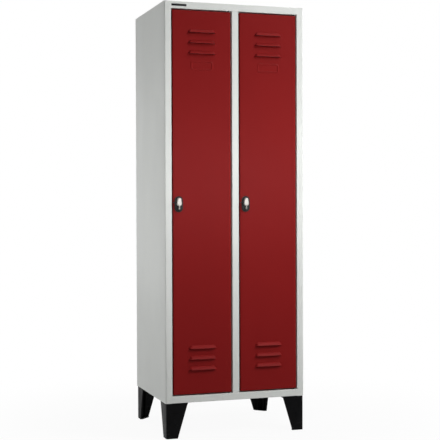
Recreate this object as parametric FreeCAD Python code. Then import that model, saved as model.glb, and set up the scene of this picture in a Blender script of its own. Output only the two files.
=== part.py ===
import FreeCAD, Part
import math
import os

# A two-door clothing locker of folded sheet steel on four moulded feet.
# Millimetres. +X is to the right, +Y to the back and +Z up; the doors face -Y.
# The origin is on the floor, in the middle of the footprint.

# Overall sizes
WIDTH = 630.0
DEPTH = 500.0
BODY_HEIGHT = 1700.0
FOOT_HEIGHT = 150.0

# Folded sheet
SHEET = 0.8
BEND = 2.0
FRONT_BEND = 6.0
FLANGE = 15.0

# Front frame
STILE_WIDTH = 30.0
CENTRE_STILE_WIDTH = 30.0
RAIL_HEIGHT = 30.0
REBATE = 22.0
STOP_LIP = 14.0
LIP_NOTCH = 1.0

# Back panel
BACK_MARGIN = 2.0
WALL_HOLE_RADIUS = 4.5
WALL_HOLE_DROP = 60.0

# Hat shelves
HAT_HEIGHT = 300.0
SHELF_EDGE = 18.0
SHELF_SETBACK = 20.0
SHELF_BACK_GAP = 6.0

# Coat rails and their sockets
COAT_RAIL_RADIUS = 9.0
COAT_RAIL_WALL = 1.2
COAT_RAIL_DROP = 50.0
SOCKET_FLANGE_RADIUS = 17.0
SOCKET_FLANGE = 3.0
SOCKET_RADIUS = 12.5
SOCKET_REACH = 14.0
SOCKET_CLEARANCE = 0.1

# Coat hooks
HOOK_COUNT = 3
HOOK_SPACING = 75.0
HOOK_WIDTH = 12.0
HOOK_WALL = 4.0
HOOK_BAR = 5.0
HOOK_STEM = 32.0
HOOK_THROAT_RADIUS = 10.0
HOOK_TIP = 12.0
HOOK_CLEARANCE = 0.3

# Feet
FOOT_SIDE_INSET = 3.5
FOOT_TOP_SPREAD = 95.0
FOOT_SOLE_SPREAD = 50.0
FOOT_WALL = 4.0
FOOT_PLATE = 5.0
FOOT_PLATE_EDGE = 25.0
FOOT_SOLE_EDGE = 12.0
FOOT_CORNER = 6.0
FOOT_BOLT_NEAR = 28.0
FOOT_BOLT_FAR = 62.0
BOLT_RADIUS = 4.0
BOLT_HOLE_CLEARANCE = 0.2
BOLT_HEAD_RADIUS = 7.5
BOLT_HEAD = 5.3
BOLT_NUT = 6.5
BOLT_TAIL = 3.0

# Doors
DOOR_GAP = 6.0
DOOR_DEPTH = 18.0
DOOR_RETURN = 12.0
STIFFENER_WIDTH = 60.0
STIFFENER_DEPTH = 14.0
STIFFENER_FLANGE = 12.0
STIFFENER_LENGTH = 1000.0
BUFFER_RADIUS = 3.5
BUFFER_CLEARANCE = 0.3
BUFFER_HEIGHTS = (400.0, 1600.0)

# Louvres: hoods pressed out of the door, open below
LOUVRE_COUNT = 3
LOUVRE_PITCH = 45.0
LOUVRE_LENGTH = 120.0
LOUVRE_PROUD = 11.0
LOUVRE_RISE = 14.0
LOUVRE_BULGE = 1.2
TOP_LOUVRE_DROP = 93.0
BOTTOM_LOUVRE_RISE = 103.0

# Label frame pressed in the door
LABEL_WIDTH = 102.0
LABEL_HEIGHT = 42.0
LABEL_BORDER = 9.0
LABEL_FLANK = 3.0
LABEL_PROUD = 1.8
LABEL_CORNER = 3.0
LABEL_DROP = 233.0

# Hinge pins and bushes
HINGE_INSET = 7.5
HINGE_SETBACK = 6.5
PIN_RADIUS = 3.0
PIN_HEAD_RADIUS = 4.5
PIN_HEAD = 2.0
PIN_REACH = 12.0
BUSH_RADIUS = 4.0
BUSH_FLANGE_RADIUS = 4.5
BUSH_FLANGE = 1.2
BUSH_LENGTH = 9.0
RUNNING_CLEARANCE = 0.05
END_CLEARANCE = 0.3

# Turning latch
LATCH_HEIGHT = 996.0
LATCH_INSET = 24.5
ROSETTE_RADIUS = 18.0
ROSETTE_RISE = 14.0
ROSETTE_DROP = 18.0
ROSETTE_THICKNESS = 3.0
BARREL_RADIUS = 9.0
BARREL_LENGTH = 12.0
BARREL_NUT_RADIUS = 14.0
BARREL_NUT = 5.0
HANDLE_RADIUS = 11.5
HANDLE_TIP_RADIUS = 8.5
HANDLE_TIP_RISE = 16.5
HANDLE_THICKNESS = 12.7
HANDLE_ROUND = 4.5
HANDLE_GAP = 0.3
SPINDLE_RADIUS = 4.0
EYE_RADIUS = 4.0
EYE_REACH = 18.5
EYE_WALL = 2.0
EYE_SETBACK = 1.0
EAR_THICKNESS = 4.0
FIN_THICKNESS = 4.0
EAR_GAP = 0.5
TONGUE_WIDTH = 18.0
TONGUE_THICKNESS = 3.0
TONGUE_GAP = 1.2
TONGUE_TIP_GAP = 2.0
WASHER_RADIUS = 7.0
WASHER_THICKNESS = 1.2
SCREW_RADIUS = 2.5
SCREW_HEAD_RADIUS = 4.5
SCREW_HEAD = 3.0
SCREW_LENGTH = 12.0

# Places worked out from the sizes above
LATCH_PROUD = ROSETTE_THICKNESS + HANDLE_GAP + HANDLE_THICKNESS
LEFT = -WIDTH / 2
RIGHT = WIDTH / 2
FRONT = (LATCH_PROUD - DEPTH) / 2
BACK = FRONT + DEPTH
MIDDLE = (FRONT + BACK) / 2
FOOT_LEFT = LEFT + FOOT_SIDE_INSET
BOTTOM = FOOT_HEIGHT
TOP = FOOT_HEIGHT + BODY_HEIGHT
OPENING_BOTTOM = BOTTOM + RAIL_HEIGHT
OPENING_TOP = TOP - RAIL_HEIGHT
OPENING_MIDDLE = (OPENING_BOTTOM + OPENING_TOP) / 2
DOOR_BOTTOM = OPENING_BOTTOM + DOOR_GAP
DOOR_TOP = OPENING_TOP - DOOR_GAP
HINGE_Y = FRONT + HINGE_SETBACK
SHELF_TOP = TOP - SHEET - HAT_HEIGHT
SHELF_FRONT = FRONT + REBATE + SHELF_SETBACK
SHELF_BACK = BACK - SHELF_BACK_GAP
COAT_RAIL_Y = (SHELF_FRONT + SHELF_BACK) / 2
COAT_RAIL_Z = SHELF_TOP - SHELF_EDGE - COAT_RAIL_DROP
ROSETTE_FACE = FRONT - ROSETTE_THICKNESS
HANDLE_BACK = ROSETTE_FACE - HANDLE_GAP
HANDLE_FACE = HANDLE_BACK - HANDLE_THICKNESS
EYE_FRONT = HANDLE_FACE + EYE_SETBACK
EYE_Y = EYE_FRONT + EYE_WALL + EYE_RADIUS
EYE_END = EYE_REACH + EYE_RADIUS + EYE_WALL
TONGUE_FRONT = FRONT + REBATE + SHEET + TONGUE_GAP
TONGUE_BACK = TONGUE_FRONT + TONGUE_THICKNESS
TONGUE_REACH = LATCH_INSET + DOOR_GAP - TONGUE_TIP_GAP

Vector = FreeCAD.Vector
ACROSS = Vector(1, 0, 0)
INWARD = Vector(0, 1, 0)
UPWARD = Vector(0, 0, 1)


class Bay:
    """One compartment: its door opening and the inner faces of its two walls."""

    def __init__(self, name, opening_left, opening_right, wall_left, wall_right):
        self.name = name
        self.opening_left = opening_left
        self.opening_right = opening_right
        self.wall_left = wall_left
        self.wall_right = wall_right
        self.door_left = opening_left + DOOR_GAP
        self.door_right = opening_right - DOOR_GAP
        self.door_centre = (self.door_left + self.door_right) / 2
        self.hinge_x = self.door_right - HINGE_INSET
        self.latch_x = self.door_left + LATCH_INSET
        self.centre = (wall_left + wall_right) / 2


BAYS = (
    Bay("left", LEFT + STILE_WIDTH, -CENTRE_STILE_WIDTH / 2, LEFT + SHEET, -SHEET / 2),
    Bay("right", CENTRE_STILE_WIDTH / 2, RIGHT - STILE_WIDTH, SHEET / 2, RIGHT - SHEET),
)


# Shape helpers

def block(x_range, y_range, z_range):
    """A box between two values on each axis."""
    corner = Vector(x_range[0], y_range[0], z_range[0])
    size = [high - low for low, high in (x_range, y_range, z_range)]
    return Part.makeBox(size[0], size[1], size[2], corner)


def rod(radius, start, end):
    """A cylinder from one point to another."""
    line = end - start
    return Part.makeCylinder(radius, line.Length, start, line)


def joined(pieces):
    """Several solids as one, with no seams left in flat faces."""
    return pieces[0].fuse(pieces[1:]).removeSplitter()


def without(piece, cuts):
    """A solid with others taken away from it."""
    return piece.cut(Part.makeCompound(cuts))


def mirrored_sideways(piece):
    """The same piece on the other side of the locker."""
    return piece.mirror(Vector(0, 0, 0), ACROSS)


def prism(points, sweep):
    """A straight solid on a flat outline of points."""
    return Part.Face(Part.makePolygon(points + points[:1])).extrude(sweep)


def hexagon(radius, base, sweep):
    """A six-sided solid of a corner radius, on a base point."""
    turn = FreeCAD.Rotation(UPWARD, sweep)
    corners = []
    for index in range(6):
        angle = math.radians(60 * index)
        corners.append(base + turn.multVec(Vector(radius * math.cos(angle), radius * math.sin(angle), 0)))
    return prism(corners, sweep)


def tapered_outline(big_radius, small_radius, spacing):
    """Wire round two circles, the big one at the origin and the small one above it, in plan."""
    lean = math.asin((big_radius - small_radius) / spacing)
    side = Vector(math.cos(lean), math.sin(lean), 0)
    other = Vector(-side.x, side.y, 0)
    high = Vector(0, spacing, 0)
    low_arc = Part.Arc(other * big_radius, Vector(0, -big_radius, 0), side * big_radius)
    crown = high + Vector(0, small_radius, 0)
    high_arc = Part.Arc(high + side * small_radius, crown, high + other * small_radius)
    right_line = Part.LineSegment(side * big_radius, high + side * small_radius)
    left_line = Part.LineSegment(high + other * small_radius, other * big_radius)
    return Part.Wire([edge.toShape() for edge in (low_arc, right_line, high_arc, left_line)])


def facing_front(shape, x, y, z):
    """A flat shape drawn in plan, stood up so that its plan face looks to the front."""
    shape.rotate(Vector(0, 0, 0), ACROSS, 90)
    shape.translate(Vector(x, y, z))
    return shape


def folded(points, axis, start, end, bends=None):
    """A folded sheet: its section follows points, with the sheet on their left, along one axis.

    The bends are the outer radii of its corners in turn, where they are not all the usual one.
    """
    place = {
        "x": lambda u, v: Vector(start, u, v),
        "y": lambda u, v: Vector(u, start, v),
        "z": lambda u, v: Vector(u, v, start),
    }[axis]
    sweep = {"x": ACROSS, "y": INWARD, "z": UPWARD}[axis] * (end - start)
    near = []
    far = []
    corners = [Vector(u, v, 0) for u, v in points]
    ways = [(after - before).normalize() for before, after in zip(corners, corners[1:])]
    lefts = [Vector(-way.y, way.x, 0) for way in ways]
    near.append([corners[0]])
    far.append([corners[0] + lefts[0] * SHEET])
    for index in range(1, len(corners) - 1):
        corner = corners[index]
        turn = ways[index - 1].cross(ways[index]).z
        half_turn = abs(math.atan2(turn, ways[index - 1].dot(ways[index]))) / 2
        bend = bends[index - 1] if bends else BEND
        near_radius = bend if turn > 0 else bend - SHEET
        far_radius = bend - SHEET if turn > 0 else bend
        reach = near_radius * math.tan(half_turn)
        first = corner - ways[index - 1] * reach
        last = corner + ways[index] * reach
        centre = first + lefts[index - 1] * math.copysign(near_radius, turn)
        outward = (corner - centre).normalize()
        near.append([first, centre + outward * near_radius, last])
        far_first = first + lefts[index - 1] * SHEET
        far_last = last + lefts[index] * SHEET
        far.append([far_first, centre + outward * far_radius, far_last])
    near.append([corners[-1]])
    far.append([corners[-1] + lefts[-1] * SHEET])
    stops = near + [stop[::-1] for stop in far[::-1]]
    edges = []
    for stop, following in zip(stops, stops[1:] + stops[:1]):
        placed = [place(point.x, point.y) for point in stop]
        if len(placed) == 3:
            edges.append(Part.Arc(*placed).toShape())
        edges.append(Part.LineSegment(placed[-1], place(following[0].x, following[0].y)).toShape())
    return Part.Face(Part.Wire(edges)).extrude(sweep)


# Carcass

def side_panel():
    """Left side: rear flange, wall and front stile folded from one sheet."""
    points = [(LEFT + FLANGE, BACK), (LEFT, BACK), (LEFT, FRONT), (LEFT + STILE_WIDTH, FRONT)]
    return folded(points, "z", BOTTOM, TOP, (BEND, FRONT_BEND))


def door_stop():
    """Left stop: a weld flange behind the stile, the rebate wall and the lip behind the door."""
    edge = LEFT + STILE_WIDTH
    points = [
        (edge - FLANGE, FRONT + SHEET),
        (edge, FRONT + SHEET),
        (edge, FRONT + REBATE),
        (edge + STOP_LIP, FRONT + REBATE),
    ]
    return folded(points, "z", OPENING_BOTTOM, OPENING_TOP)


def hinge_holes(low, high):
    """Rods that cut the hinge pins' holes between two heights."""
    holes = []
    for bay in BAYS:
        start = Vector(bay.hinge_x, HINGE_Y, low)
        holes.append(rod(PIN_RADIUS + RUNNING_CLEARANCE, start, start + UPWARD * (high - low)))
    return holes


def lip_notches(low, high):
    """Blocks that cut a rail's lip clear of the uprights' lips between two heights."""
    lip_y = (FRONT + REBATE - BEND, FRONT + REBATE + BEND)
    lip_end = STOP_LIP + LIP_NOTCH
    centre_reach = CENTRE_STILE_WIDTH / 2 + lip_end
    ends = (
        (LEFT + STILE_WIDTH, LEFT + STILE_WIDTH + lip_end),
        (-centre_reach, centre_reach),
        (RIGHT - STILE_WIDTH - lip_end, RIGHT - STILE_WIDTH),
    )
    return [block(x_range, lip_y, (low, high)) for x_range in ends]


def corner_web():
    """Quarter disc that closes the roof inside the left front bend."""
    centre = Vector(LEFT + FRONT_BEND, FRONT + FRONT_BEND, TOP - SHEET)
    web = Part.makeCylinder(FRONT_BEND - SHEET, SHEET, centre, UPWARD, 90)
    web.rotate(centre, UPWARD, 180)
    return web


def roof_panel():
    """Roof: rear flange, top, front rail, rebate wall and lip, with a flange down each side."""
    rail = TOP - RAIL_HEIGHT
    points = [
        (BACK, TOP - FLANGE),
        (BACK, TOP),
        (FRONT, TOP),
        (FRONT, rail),
        (FRONT + REBATE, rail),
        (FRONT + REBATE, rail - STOP_LIP),
    ]
    middle = folded(points, "x", LEFT + STILE_WIDTH, RIGHT - STILE_WIDTH)
    inner = LEFT + SHEET
    bend_end = FRONT + FRONT_BEND
    wing = folded([(LEFT + STILE_WIDTH, TOP), (inner, TOP), (inner, TOP - FLANGE)], "y", bend_end, BACK - BEND)
    lap = block((LEFT + FRONT_BEND, LEFT + STILE_WIDTH), (FRONT + SHEET, bend_end), (TOP - SHEET, TOP))
    pieces = [wing, lap, corner_web()]
    roof = joined([middle] + pieces + [mirrored_sideways(piece) for piece in pieces])
    notches = lip_notches(rail - STOP_LIP - LIP_NOTCH, rail + BEND)
    return without(roof, notches + hinge_holes(rail - BEND, rail + BEND))


def foot_bolt_places():
    """Plan places of the two bolts in each of the four feet."""
    places = []
    for toward_x, toward_y in ((FOOT_BOLT_NEAR, FOOT_BOLT_FAR), (FOOT_BOLT_FAR, FOOT_BOLT_NEAR)):
        for x in (LEFT + toward_x, RIGHT - toward_x):
            for y in (FRONT + toward_y, BACK - toward_y):
                places.append((x, y))
    return places


def bolt_holes(low, high):
    """Rods that cut the foot bolts' holes between two heights."""
    radius = BOLT_RADIUS + BOLT_HOLE_CLEARANCE
    return [rod(radius, Vector(x, y, low), Vector(x, y, high)) for x, y in foot_bolt_places()]


def bottom_rail():
    """Rail under the doors: lip, rebate wall, front and a flange level with the floor panel."""
    rail = OPENING_BOTTOM
    points = [
        (FRONT + REBATE, rail + STOP_LIP),
        (FRONT + REBATE, rail),
        (FRONT, rail),
        (FRONT, BOTTOM),
        (FRONT + FLANGE, BOTTOM),
    ]
    profile = folded(points, "x", LEFT + STILE_WIDTH, RIGHT - STILE_WIDTH)
    notches = lip_notches(rail - BEND, rail + STOP_LIP + LIP_NOTCH)
    return without(profile, notches + hinge_holes(rail - BEND, rail + BEND))


def floor_panel():
    """Flat floor behind the bottom rail, cut clear of it and of the side panels' bends."""
    sheet_z = (BOTTOM, BOTTOM + SHEET)
    sheet = block((LEFT + SHEET, RIGHT - SHEET), (FRONT + SHEET, BACK - SHEET), sheet_z)
    cuts = bolt_holes(BOTTOM - BEND, BOTTOM + BEND)
    cuts.append(block((LEFT + STILE_WIDTH, RIGHT - STILE_WIDTH), (FRONT, FRONT + FLANGE), sheet_z))
    for bend, y_range in ((FRONT_BEND, (FRONT, FRONT + FRONT_BEND)), (BEND, (BACK - BEND, BACK))):
        for x_range in ((LEFT, LEFT + bend), (RIGHT - bend, RIGHT)):
            cuts.append(block(x_range, y_range, sheet_z))
    return without(sheet, cuts)


def back_panel():
    """Flat back behind both compartments, with a wall-fixing hole in each."""
    back = block(
        (LEFT + BACK_MARGIN, RIGHT - BACK_MARGIN),
        (BACK - 2 * SHEET, BACK - SHEET),
        (BOTTOM + SHEET, TOP - BACK_MARGIN),
    )
    holes = []
    for bay in BAYS:
        start = Vector(bay.door_centre, BACK - 3 * SHEET, TOP - WALL_HOLE_DROP)
        holes.append(rod(WALL_HOLE_RADIUS, start, start + INWARD * 3 * SHEET))
    return without(back, holes)


def centre_partition():
    """Upright sheet between the compartments, notched round the rails and the roof's rear fold."""
    back = BACK - 3 * SHEET
    points = [(-FLANGE, back), (-SHEET / 2, back), (-SHEET / 2, FRONT + SHEET)]
    partition = folded(points, "z", BOTTOM + SHEET, TOP - SHEET)
    rail_y = (FRONT, FRONT + REBATE + BEND)
    fold_y = (back - BEND, BACK)
    notches = [
        block((-BEND, BEND), rail_y, (BOTTOM, OPENING_BOTTOM)),
        block((-BEND, BEND), rail_y, (OPENING_TOP, TOP)),
        block((-FLANGE, BEND), fold_y, (TOP - BEND, TOP)),
    ]
    return without(partition, notches)


def centre_stile():
    """Hat-shaped stile between the doors, with a stop lip on each side."""
    half = CENTRE_STILE_WIDTH / 2
    points = [
        (-half - STOP_LIP, FRONT + REBATE),
        (-half, FRONT + REBATE),
        (-half, FRONT),
        (half, FRONT),
        (half, FRONT + REBATE),
        (half + STOP_LIP, FRONT + REBATE),
    ]
    return folded(points, "z", OPENING_BOTTOM, OPENING_TOP)


def hat_shelf(bay):
    """Shelf with all four edges turned down."""
    low = SHELF_TOP - SHELF_EDGE
    points = [(SHELF_BACK, low), (SHELF_BACK, SHELF_TOP), (SHELF_FRONT, SHELF_TOP), (SHELF_FRONT, low)]
    deck = folded(points, "x", bay.wall_left, bay.wall_right)
    edge_y = (SHELF_FRONT + BEND, SHELF_BACK - BEND)
    edge_z = (low, SHELF_TOP - SHEET)
    left_edge = block((bay.wall_left, bay.wall_left + SHEET), edge_y, edge_z)
    right_edge = block((bay.wall_right - SHEET, bay.wall_right), edge_y, edge_z)
    return joined([deck, left_edge, right_edge])


def coat_rail(bay):
    """Tube that spans the compartment under the shelf."""
    start = Vector(bay.wall_left + SOCKET_FLANGE, COAT_RAIL_Y, COAT_RAIL_Z)
    end = Vector(bay.wall_right - SOCKET_FLANGE, COAT_RAIL_Y, COAT_RAIL_Z)
    tube = rod(COAT_RAIL_RADIUS, start, end)
    return without(tube, [rod(COAT_RAIL_RADIUS - COAT_RAIL_WALL, start, end)])


def rail_sockets(bay):
    """Two flanged cups that hold the ends of the coat rail."""
    sockets = []
    for wall, way in ((bay.wall_left, ACROSS), (bay.wall_right, -ACROSS)):
        base = Vector(wall, COAT_RAIL_Y, COAT_RAIL_Z)
        face = base + way * SOCKET_FLANGE
        rim = base + way * SOCKET_REACH
        cup = joined([rod(SOCKET_FLANGE_RADIUS, base, face), rod(SOCKET_RADIUS, base, rim)])
        sockets.append(without(cup, [rod(COAT_RAIL_RADIUS + SOCKET_CLEARANCE, face, rim)]))
    return Part.makeCompound(sockets)


def coat_hook(x):
    """Sliding hook: a ring round the rail, a stem and a bend that opens to the front."""
    left = x - HOOK_WIDTH / 2
    width = ACROSS * HOOK_WIDTH
    x_range = (left, left + HOOK_WIDTH)
    axis = Vector(left, COAT_RAIL_Y, COAT_RAIL_Z)
    bore = COAT_RAIL_RADIUS + HOOK_CLEARANCE
    ring = bore + HOOK_WALL
    half_bar = HOOK_BAR / 2
    bend_low = COAT_RAIL_Z - ring - HOOK_STEM
    bend = Vector(left, COAT_RAIL_Y - HOOK_THROAT_RADIUS - half_bar, bend_low)
    bend_radius = HOOK_THROAT_RADIUS + HOOK_BAR
    tip = Vector(left, bend.y - HOOK_THROAT_RADIUS - half_bar, bend_low + HOOK_TIP)
    over = block(x_range, (bend.y - bend_radius, bend.y + bend_radius), (bend_low, bend_low + bend_radius))
    curve = without(rod(bend_radius, bend, bend + width), [rod(HOOK_THROAT_RADIUS, bend, bend + width), over])
    stem = block(x_range, (COAT_RAIL_Y - half_bar, COAT_RAIL_Y + half_bar), (bend_low, COAT_RAIL_Z))
    rise = block(x_range, (tip.y - half_bar, tip.y + half_bar), (bend_low, tip.z))
    hook = joined([rod(ring, axis, axis + width), stem, curve, rise, rod(half_bar, tip, tip + width)])
    return without(hook, [rod(bore, axis, axis + width)])


def hook_places(bay):
    """Places of the hooks along their rail."""
    first = bay.centre - HOOK_SPACING * (HOOK_COUNT - 1) / 2
    return [first + HOOK_SPACING * index for index in range(HOOK_COUNT)]


# Feet

def corner_plate(spread, edge, low, high):
    """Level plate in the front left corner, cut off across its inner corner."""
    outline = [(0, 0), (spread, 0), (spread, edge), (edge, spread), (0, spread)]
    points = [Vector(FOOT_LEFT + x, FRONT + y, low) for x, y in outline]
    return prism(points, UPWARD * (high - low))


def front_left_foot():
    """Moulded angle foot: two walls that taper to the floor, a top plate and a sole."""
    outline = [(0, 0), (FOOT_SOLE_SPREAD, 0), (FOOT_TOP_SPREAD, FOOT_HEIGHT), (0, FOOT_HEIGHT)]
    front_wall = prism([Vector(FOOT_LEFT + u, FRONT, v) for u, v in outline], INWARD * FOOT_WALL)
    side_wall = prism([Vector(FOOT_LEFT, FRONT + u, v) for u, v in outline], ACROSS * FOOT_WALL)
    plate = corner_plate(FOOT_TOP_SPREAD, FOOT_PLATE_EDGE, FOOT_HEIGHT - FOOT_PLATE, FOOT_HEIGHT)
    sole = corner_plate(FOOT_SOLE_SPREAD, FOOT_SOLE_EDGE, 0, FOOT_PLATE)
    foot = joined([front_wall, side_wall, plate, sole])
    corner = Vector(FOOT_LEFT, FRONT, FOOT_HEIGHT / 2)
    outer_edges = [edge for edge in foot.Edges if edge.CenterOfMass.distanceToPoint(corner) < SHEET]
    foot = foot.makeFillet(FOOT_CORNER, outer_edges)
    return without(foot, bolt_holes(FOOT_HEIGHT - 2 * FOOT_PLATE, FOOT_HEIGHT + FOOT_PLATE))


def foot_bolts():
    """Hexagon bolts, with heads on the floor panel and shanks down through the feet."""
    seat = FOOT_HEIGHT + SHEET
    low = FOOT_HEIGHT - FOOT_PLATE - BOLT_NUT - BOLT_TAIL
    bolts = []
    for x, y in foot_bolt_places():
        head = hexagon(BOLT_HEAD_RADIUS, Vector(x, y, seat), UPWARD * BOLT_HEAD)
        bolts.append(joined([head, rod(BOLT_RADIUS, Vector(x, y, low), Vector(x, y, seat))]))
    return Part.makeCompound(bolts)


def foot_nuts():
    """Hexagon nuts on the bolts, under the top plates of the feet."""
    low = FOOT_HEIGHT - FOOT_PLATE - BOLT_NUT
    nuts = []
    for x, y in foot_bolt_places():
        base = Vector(x, y, low)
        nut = hexagon(BOLT_HEAD_RADIUS, base, UPWARD * BOLT_NUT)
        bore = rod(BOLT_RADIUS + RUNNING_CLEARANCE, base, base + UPWARD * BOLT_NUT)
        nuts.append(without(nut, [bore]))
    return Part.makeCompound(nuts)


# Doors

def hinge_ends(bay):
    """The door's two pivot ends: a point on the rail's wall, and the way into the door."""
    return (
        (Vector(bay.hinge_x, HINGE_Y, OPENING_BOTTOM), UPWARD),
        (Vector(bay.hinge_x, HINGE_Y, OPENING_TOP), -UPWARD),
    )


def hinge_pins(bay):
    """Riveted pins in the rails, each with a collar that carries the bush."""
    collar = DOOR_GAP - BUSH_FLANGE - END_CLEARANCE
    pins = []
    for wall, way in hinge_ends(bay):
        inside = wall - way * SHEET
        shank = rod(PIN_RADIUS, inside - way * PIN_HEAD, wall + way * (DOOR_GAP + PIN_REACH))
        head = rod(PIN_HEAD_RADIUS, inside - way * PIN_HEAD, inside)
        pins.append(joined([shank, head, rod(PIN_HEAD_RADIUS, wall, wall + way * collar)]))
    return Part.makeCompound(pins)


def hinge_bushes(bay):
    """Flanged bushes in the door's top and bottom edges."""
    bushes = []
    for wall, way in hinge_ends(bay):
        edge = wall + way * DOOR_GAP
        foot = edge - way * BUSH_FLANGE
        end = edge + way * BUSH_LENGTH
        body = joined([rod(BUSH_FLANGE_RADIUS, foot, edge), rod(BUSH_RADIUS, foot, end)])
        bushes.append(without(body, [rod(PIN_RADIUS + RUNNING_CLEARANCE, foot, end)]))
    return Part.makeCompound(bushes)


def door_tray(bay):
    """Front skin with four edges folded back and turned in behind."""
    x_range = (bay.door_left, bay.door_right)
    z_range = (DOOR_BOTTOM, DOOR_TOP)
    outer = block(x_range, (FRONT, FRONT + DOOR_DEPTH), z_range)
    inner_x = (x_range[0] + SHEET, x_range[1] - SHEET)
    inner_z = (z_range[0] + SHEET, z_range[1] - SHEET)
    inner = block(inner_x, (FRONT + SHEET, FRONT + DOOR_DEPTH - SHEET), inner_z)
    window = block(
        (x_range[0] + DOOR_RETURN, x_range[1] - DOOR_RETURN),
        (FRONT + DOOR_DEPTH / 2, FRONT + DOOR_DEPTH),
        (z_range[0] + DOOR_RETURN, z_range[1] - DOOR_RETURN),
    )
    outer = outer.makeFillet(BEND, edges_at(outer, FRONT))
    inner = inner.makeFillet(BEND - SHEET, edges_at(inner, FRONT + SHEET))
    return without(outer, [inner, window])


def edges_at(shape, depth):
    """The edges of a shape that lie wholly in one upright plane across the locker."""
    found = []
    for edge in shape.Edges:
        away = abs(edge.BoundBox.YMin - depth) + abs(edge.BoundBox.YMax - depth)
        if away < SHEET:
            found.append(edge)
    return found


def louvre_hood(x, rim, proud, rise, length, inset):
    """A hood with a sloping face, open side down at the rim height, its ends turned round to the skin."""
    half = length / 2 - proud
    low = Vector(x - half, FRONT + inset, rim)
    crest = low + UPWARD * rise
    lip = low - INWARD * (proud + inset)
    shoulder = (lip + crest) * 0.5 + ACROSS.cross(crest - lip).normalize() * LOUVRE_BULGE
    edges = [
        Part.LineSegment(low, lip).toShape(),
        Part.Arc(lip, shoulder, crest).toShape(),
        Part.LineSegment(crest, low).toShape(),
    ]
    section = Part.Face(Part.Wire(edges))
    right_end = low + ACROSS * (2 * half)
    right_section = section.translated(ACROSS * (2 * half))
    return joined([
        section.extrude(ACROSS * (2 * half)),
        section.revolve(low, UPWARD, -90),
        right_section.revolve(right_end, UPWARD, 90),
    ])


def louvre_rims():
    """Heights of the open lower edges of a door's louvres."""
    top = [DOOR_TOP - TOP_LOUVRE_DROP - LOUVRE_PITCH * index for index in range(LOUVRE_COUNT)]
    bottom = [DOOR_BOTTOM + BOTTOM_LOUVRE_RISE + LOUVRE_PITCH * index for index in range(LOUVRE_COUNT)]
    return top + bottom


def rounded_outline(width, height, corner, depth):
    """Wire of an upright rectangle with round corners, about the origin, at a depth."""
    slant = corner * math.sqrt(0.5)
    stops = []
    for side, level in ((1, -1), (1, 1), (-1, 1), (-1, -1)):
        centre = Vector(side * (width / 2 - corner), depth, level * (height / 2 - corner))
        beside = centre + ACROSS * side * corner
        above = centre + UPWARD * level * corner
        middle = centre + Vector(side * slant, 0, level * slant)
        stops.append((above, middle, beside) if side * level < 0 else (beside, middle, above))
    edges = []
    for stop, following in zip(stops, stops[1:] + stops[:1]):
        edges.append(Part.Arc(*stop).toShape())
        edges.append(Part.LineSegment(stop[2], following[0]).toShape())
    return Part.Wire(edges)


def label_frame(bay):
    """Pressed border with sloping flanks, round the place for a name card."""
    outer = []
    inner = []
    outer_corner = LABEL_CORNER + LABEL_BORDER
    for depth in (FRONT + SHEET / 2, FRONT - LABEL_PROUD):
        spread = 2 * LABEL_FLANK * (depth - FRONT) / LABEL_PROUD
        shrink = 2 * LABEL_BORDER + spread
        outer.append(rounded_outline(LABEL_WIDTH + spread, LABEL_HEIGHT + spread, outer_corner, depth))
        inner.append(rounded_outline(LABEL_WIDTH - shrink, LABEL_HEIGHT - shrink, LABEL_CORNER, depth))
    frame = without(Part.makeLoft(outer, True, True), [Part.makeLoft(inner, True, True)])
    return frame.translated(Vector(bay.door_centre, 0, DOOR_TOP - LABEL_DROP))


def door_panel(bay):
    """Door: tray, label frame and louvres, with holes for the latch and the bushes."""
    hoods = []
    hollows = []
    for rim in louvre_rims():
        hoods.append(louvre_hood(bay.door_centre, rim, LOUVRE_PROUD, LOUVRE_RISE, LOUVRE_LENGTH, 0))
        hollow = louvre_hood(
            bay.door_centre, rim, LOUVRE_PROUD - SHEET, LOUVRE_RISE - SHEET, LOUVRE_LENGTH - 2 * SHEET, SHEET
        )
        hollows.append(hollow)
    holes = [rod(BUSH_RADIUS, wall, wall + way * (DOOR_GAP + BEND)) for wall, way in hinge_ends(bay)]
    latch = Vector(bay.latch_x, FRONT, LATCH_HEIGHT)
    holes.append(rod(BARREL_RADIUS, latch, latch + INWARD * BEND))
    return without(joined([door_tray(bay), label_frame(bay)] + hoods), hollows + holes)


def door_stiffener(bay):
    """Upright channel welded to the back of the door's skin."""
    seat = FRONT + 2 * SHEET
    web = FRONT + SHEET + STIFFENER_DEPTH
    right = bay.door_centre + STIFFENER_WIDTH / 2
    left = bay.door_centre - STIFFENER_WIDTH / 2
    points = [
        (right + STIFFENER_FLANGE, seat),
        (right, seat),
        (right, web),
        (left, web),
        (left, seat),
        (left - STIFFENER_FLANGE, seat),
    ]
    half = STIFFENER_LENGTH / 2
    return folded(points, "z", OPENING_MIDDLE - half, OPENING_MIDDLE + half)


def door_buffers(bay):
    """Rubber pads on the stop lip that the door closes against."""
    x = (bay.door_left + bay.opening_left + STOP_LIP) / 2
    face = FRONT + DOOR_DEPTH + BUFFER_CLEARANCE
    seat = FRONT + REBATE
    pads = [rod(BUFFER_RADIUS, Vector(x, face, z), Vector(x, seat, z)) for z in BUFFER_HEIGHTS]
    return Part.makeCompound(pads)


# Latches

def latch_axis(bay, depth):
    """The point on the latch's turning axis at a depth."""
    return Vector(bay.latch_x, depth, LATCH_HEIGHT)


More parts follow.
